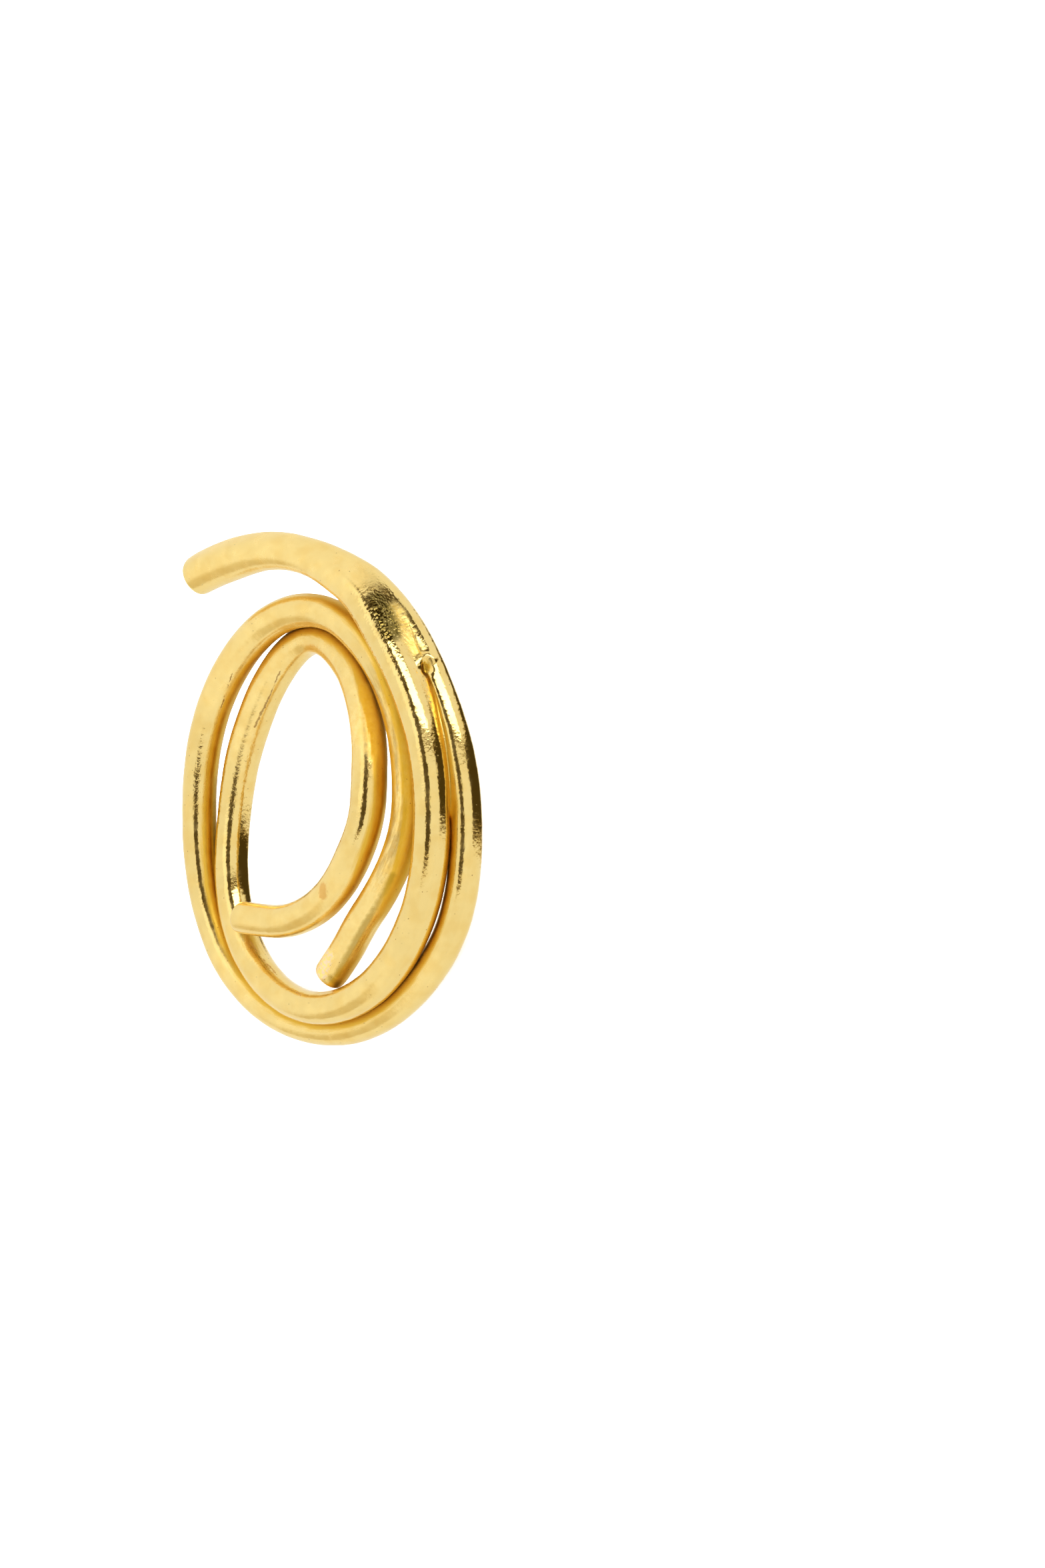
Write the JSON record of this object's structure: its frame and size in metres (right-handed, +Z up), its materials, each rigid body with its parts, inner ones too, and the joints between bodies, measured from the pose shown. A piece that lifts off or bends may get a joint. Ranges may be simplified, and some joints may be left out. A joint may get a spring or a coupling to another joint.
{
  "type": "swirl earring",
  "caption": "Swirl stud earring in polished gold-coloured metal: a hammered tail splits into two round wires that coil inside each other, with a straight ear post behind.",
  "frame": {"origin": "middle of the footprint, on the surface that the earring lies on", "axes": "+X towards the worn earring's right as seen from the front, +Y towards its tail, which is worn uppermost, +Z up out of the surface, which is the side that faces forward when worn, leaning back 12.1 degrees and rolled 4.4 degrees"},
  "size_m": [0.036, 0.0454, 0.0155],
  "materials": {
    "gold": "mirror polished, lightly pebbled by hammering, gold plated"
  },
  "bodies": {
    "root": {"swirl": "gold", "ear_post": "gold"}
  },
  "joints": []
}
